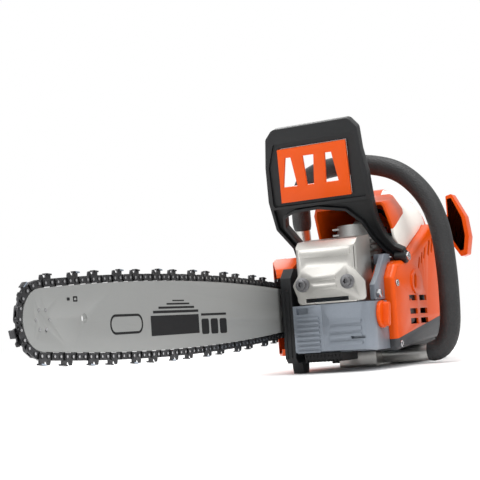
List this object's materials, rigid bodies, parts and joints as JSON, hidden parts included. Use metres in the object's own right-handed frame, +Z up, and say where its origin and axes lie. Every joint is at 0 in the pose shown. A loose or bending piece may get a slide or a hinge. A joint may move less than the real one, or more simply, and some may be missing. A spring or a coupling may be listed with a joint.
{
  "type": "chainsaw",
  "caption": "Petrol chainsaw with guide bar, toothed chain, finned engine, recoil starter, hand guard, tubular front handle and rear loop handle.",
  "frame": {"origin": "on the resting plane, straight below the crankshaft axis at the engine's middle plane", "axes": "-X forward along the guide bar to its nose, +Y towards the bar side, +Z up"},
  "size_m": [0.88, 0.22, 0.2867],
  "materials": {
    "orange_plastic": "satin gloss",
    "black_plastic": "fine matt texture",
    "dark_grey_plastic": "fine matt texture",
    "grey_plastic": "satin",
    "white_plastic": "satin gloss",
    "grip_rubber": "pebbled",
    "soft_rubber": "matt",
    "grey_magnesium": "satin paint",
    "cast_aluminium": "as cast",
    "bare_aluminium": "drawn tube",
    "nickel_shield": "satin",
    "bar_steel": "satin paint",
    "chain_steel": "blued",
    "dark_steel": "machined",
    "bright_steel": "plated",
    "filter_felt": "felt",
    "rope_fibre": "braided",
    "plug_ceramic": "glazed"
  },
  "bodies": {
    "powerhead": {"starter_cover": "orange_plastic", "top_cover": "orange_plastic", "clutch_cover": "orange_plastic", "cover_panel": "white_plastic", "rear_handle": "black_plastic", "clutch_housing": "black_plastic", "ignition_coil": "black_plastic", "oil_pump": "dark_grey_plastic", "cylinder_shroud": "grey_plastic", "handle_grip": "grip_rubber", "front_pad": "soft_rubber", "av_mounts": "soft_rubber", "intake_boot": "soft_rubber", "plug_boot": "soft_rubber", "plug_lead": "soft_rubber", "crankcase_left": "grey_magnesium", "crankcase_right": "grey_magnesium", "cylinder": "cast_aluminium", "carburettor": "cast_aluminium", "front_handle": "bare_aluminium", "handle_bracket": "bare_aluminium", "muffler_shield": "nickel_shield", "muffler_body": "nickel_shield", "guide_bar": "bar_steel", "drive_links": "chain_steel", "tie_straps": "chain_steel", "cutters": "chain_steel", "nose_sprocket": "dark_steel", "nose_rivets": "dark_steel", "main_bearings": "dark_steel", "clutch_drum": "dark_steel", "brake_band": "dark_steel", "recoil_spring": "dark_steel", "chain_tensioner": "dark_steel", "bar_studs": "bright_steel", "bar_nuts": "bright_steel", "muffler_bolts": "bright_steel", "screws_and_pins": "bright_steel", "air_filter": "filter_felt", "spark_plug": "plug_ceramic"},
    "crank_body": {"crankshaft": "dark_steel", "flywheel": "cast_aluminium", "clutch_hub": "dark_steel", "clutch_shoes": "dark_steel"},
    "piston_body": {"piston": "cast_aluminium", "piston_rings": "dark_steel", "wrist_pin": "dark_steel", "connecting_rod": "dark_steel", "crankpin": "dark_steel"},
    "guard_body": {"hand_guard": "black_plastic", "guard_insert": "orange_plastic"},
    "starter_grip_body": {"starter_grip": "orange_plastic", "starter_rope": "rope_fibre"},
    "pulley_body": {"recoil_pulley": "dark_grey_plastic"},
    "oil_cap_body": {"oil_cap": "orange_plastic"},
    "fuel_cap_body": {"fuel_cap": "orange_plastic"},
    "trigger_body": {"throttle_trigger": "black_plastic"},
    "lockout_body": {"trigger_lockout": "black_plastic"},
    "switch_body": {"stop_switch": "orange_plastic"},
    "choke_body": {"choke_knob": "black_plastic"}
  },
  "joints": [
    {"name": "crank_spin", "type": "hinge", "parent": "powerhead", "child": "crank_body", "pos_m": [0, 0, 0.072], "axis": [0, 1, 0], "continuous": true},
    {"name": "piston_slide", "type": "slide", "parent": "powerhead", "child": "piston_body", "axis": [0, 0, 1], "range_m": [-0.032, 0]},
    {"name": "brake_guard", "type": "hinge", "parent": "powerhead", "child": "guard_body", "pos_m": [-0.018, 0, 0.125], "axis": [0, -1, 0], "range_deg": [0, 22]},
    {"name": "starter_pull", "type": "slide", "parent": "powerhead", "child": "starter_grip_body", "axis": [0, -1, 0], "range_m": [0, 0.75], "stiffness_N_per_m": 20, "springref_m": -0.25, "deforming": ["starter_rope"]},
    {"name": "pulley_spin", "type": "hinge", "parent": "powerhead", "child": "pulley_body", "pos_m": [0, 0, 0.072], "axis": [0, 1, 0], "range_deg": [0, 2010], "deforming": ["recoil_spring"]},
    {"name": "oil_cap_lift", "type": "slide", "parent": "powerhead", "child": "oil_cap_body", "axis": [0, -1, 0], "range_m": [0, 0.03]},
    {"name": "fuel_cap_lift", "type": "slide", "parent": "powerhead", "child": "fuel_cap_body", "axis": [0, -1, 0], "range_m": [0, 0.03]},
    {"name": "throttle_press", "type": "hinge", "parent": "powerhead", "child": "trigger_body", "pos_m": [0.185, 0, 0.11], "axis": [0, -1, 0], "range_deg": [0, 18], "stiffness_Nm_per_rad": 0.4, "springref_deg": -17.19},
    {"name": "lockout_press", "type": "hinge", "parent": "powerhead", "child": "lockout_body", "pos_m": [0.206, 0, 0.14], "axis": [0, 1, 0], "range_deg": [0, 8], "stiffness_Nm_per_rad": 0.5, "springref_deg": -17.19},
    {"name": "stop_rocker", "type": "hinge", "parent": "powerhead", "child": "switch_body", "pos_m": [0.138, 0, 0.152], "axis": [0, 1, 0], "range_deg": [0, 12]},
    {"name": "choke_pull", "type": "slide", "parent": "powerhead", "child": "choke_body", "axis": [1, 0, 0], "range_m": [0, 0.008]}
  ],
  "couplings": [
    {"joint": "pulley_spin", "follows": "starter_pull", "rad_per_m": 46.512}
  ]
}
